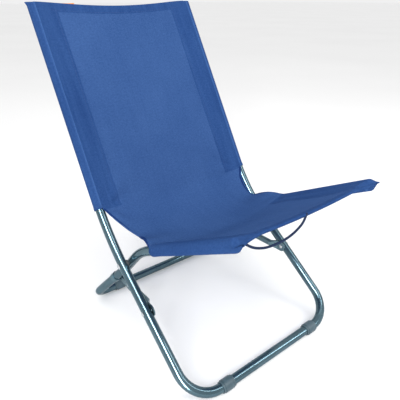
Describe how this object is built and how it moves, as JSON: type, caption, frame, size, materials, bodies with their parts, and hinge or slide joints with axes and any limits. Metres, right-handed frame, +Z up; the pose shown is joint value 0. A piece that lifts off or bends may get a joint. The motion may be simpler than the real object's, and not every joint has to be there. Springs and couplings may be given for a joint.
{
  "type": "folding beach chair",
  "caption": "Low folding beach chair: crossed bent steel tube frames, locking struts and a fabric sling with sleeves over the tubes.",
  "frame": {"origin": "on the ground, in the middle of the chair's width and depth", "axes": "+Z up, the sitter faces -Y, X is the chair's width and the plane of symmetry is X = 0"},
  "size_m": [0.4994, 0.7317, 0.7656],
  "materials": {
    "frame_paint": "gloss",
    "strut_paint": "gloss",
    "rivet_steel": "satin",
    "foot_plastic": "satin",
    "plug_plastic": "satin",
    "sling_cloth": "woven matte",
    "sling_hem": "woven matte",
    "tag_cloth": "woven matte",
    "cord_braid": "braided"
  },
  "bodies": {
    "main_frame": {"back_panel": "sling_cloth", "back_sleeve_left": "sling_hem", "back_sleeve_right": "sling_hem", "back_tube_cap_left": "plug_plastic", "back_tube_cap_right": "plug_plastic", "front_foot_left": "foot_plastic", "front_foot_right": "foot_plastic", "main_frame_tube": "frame_paint", "pivot_rivet_left": "rivet_steel", "pivot_rivet_right": "rivet_steel", "pivot_spacer_left": "plug_plastic", "pivot_spacer_right": "plug_plastic", "seam_tag": "tag_cloth", "strut_rivet_left": "rivet_steel", "strut_rivet_right": "rivet_steel"},
    "seat_frame": {"catch_bracket_left": "strut_paint", "catch_bracket_right": "strut_paint", "catch_pin_left": "rivet_steel", "catch_pin_right": "rivet_steel", "hem_cord": "cord_braid", "rear_foot_left": "foot_plastic", "rear_foot_right": "foot_plastic", "seat_frame_tube": "frame_paint", "seat_panel": "sling_cloth", "seat_sleeve_left": "sling_hem", "seat_sleeve_right": "sling_hem", "seat_tube_cap_left": "plug_plastic", "seat_tube_cap_right": "plug_plastic"},
    "strut_left": {"lock_strut_left": "strut_paint"},
    "strut_right": {"lock_strut_right": "strut_paint"}
  },
  "joints": [
    {"name": "fold", "type": "hinge", "parent": "main_frame", "child": "seat_frame", "pos_m": [0, -0.01653, 0.20791], "axis": [-1, 0, 0], "range_deg": [0, 80]},
    {"name": "strut_left_swing", "type": "hinge", "parent": "main_frame", "child": "strut_left", "pos_m": [0.214, -0.11943, 0.13746], "axis": [-1, 0, 0], "range_deg": [0, 140]},
    {"name": "strut_right_swing", "type": "hinge", "parent": "main_frame", "child": "strut_right", "pos_m": [-0.214, -0.11943, 0.13746], "axis": [-1, 0, 0], "range_deg": [0, 140]}
  ],
  "couplings": [
    {"joint": "strut_left_swing", "follows": "fold", "ratio": 1.75},
    {"joint": "strut_right_swing", "follows": "fold", "ratio": 1.75}
  ]
}
